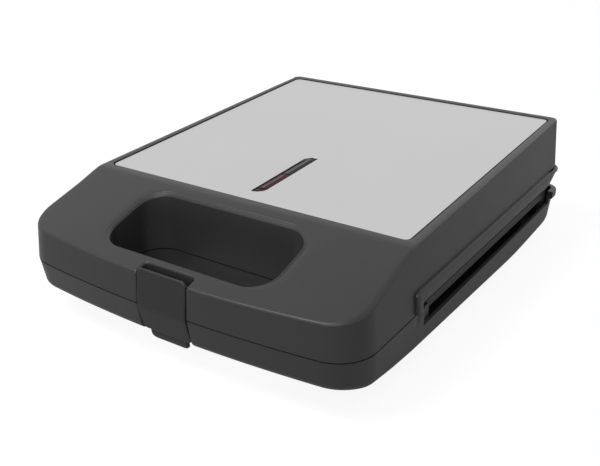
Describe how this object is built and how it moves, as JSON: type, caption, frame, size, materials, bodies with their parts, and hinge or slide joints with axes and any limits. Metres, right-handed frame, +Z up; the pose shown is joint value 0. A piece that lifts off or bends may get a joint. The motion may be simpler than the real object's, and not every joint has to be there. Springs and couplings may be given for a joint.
{
  "type": "sandwich toaster",
  "caption": "Closed clamshell sandwich toaster with a steel cover plate, a hand-hold through the grip, a front latch and hinged ridged cooking plates.",
  "frame": {"origin": "on the table under the feet, midway across the width and midway between the latch's face and the end of the cord gland", "axes": "+Z up, -Y towards the user (latch side), +X to the user's right"},
  "size_m": [0.274, 0.355, 0.0999],
  "materials": {
    "black_plastic": "fine spark-eroded grain, matt",
    "frame_plastic": "heat-resistant moulding, matt",
    "latch_plastic": "smooth, matt",
    "brushed_cover": "finely brushed stainless sheet",
    "red_lens": "dark red, clear",
    "grey_lens": "smoke grey, clear",
    "lamp_plastic": "natural white nylon",
    "lamp_glass": "small neon bulbs",
    "coated_aluminium": "die-cast, black non-stick coating",
    "heater_tube": "annealed stainless tube, slightly tinted",
    "sheet_steel": "bright aluminised sheet",
    "thermostat_ceramic": "plain steatite",
    "fuse_metal": "plain",
    "zinc_screws": "zinc plated",
    "steel_pins": "ground bright",
    "terminal_plastic": "natural white nylon",
    "soft_bush": "soft black PVC",
    "foot_rubber": "matt black rubber"
  },
  "bodies": {
    "base": {"base_shell": "black_plastic", "base_handle_cover": "black_plastic", "lower_frame": "frame_plastic", "lower_cooking_plate": "coated_aluminium", "lower_heater": "heater_tube", "lower_reflector": "sheet_steel", "terminal_block": "terminal_plastic", "cord_gland": "soft_bush", "hinge_pins": "steel_pins", "front_feet": "foot_rubber", "rear_feet": "foot_rubber", "lower_screws": "zinc_screws"},
    "lid": {"lid_shell": "black_plastic", "top_plate": "brushed_cover", "power_lens": "red_lens", "ready_lens": "grey_lens", "lamp_holder": "lamp_plastic", "neon_lamps": "lamp_glass", "lid_handle_cover": "black_plastic", "upper_frame": "frame_plastic", "upper_cooking_plate": "coated_aluminium", "upper_heater": "heater_tube", "upper_reflector": "sheet_steel", "thermostat": "thermostat_ceramic", "thermal_fuse": "fuse_metal", "upper_screws": "zinc_screws", "latch_pin": "steel_pins"},
    "latch": {"latch": "latch_plastic"}
  },
  "joints": [
    {"name": "lid_hinge", "type": "hinge", "parent": "base", "child": "lid", "pos_m": [0, 0.17045, 0.04825], "axis": [-1, 0, 0], "range_deg": [0, 100]},
    {"name": "latch_hinge", "type": "hinge", "parent": "lid", "child": "latch", "pos_m": [0, -0.171, 0.0612], "axis": [-1, 0, 0], "range_deg": [0, 60]}
  ]
}
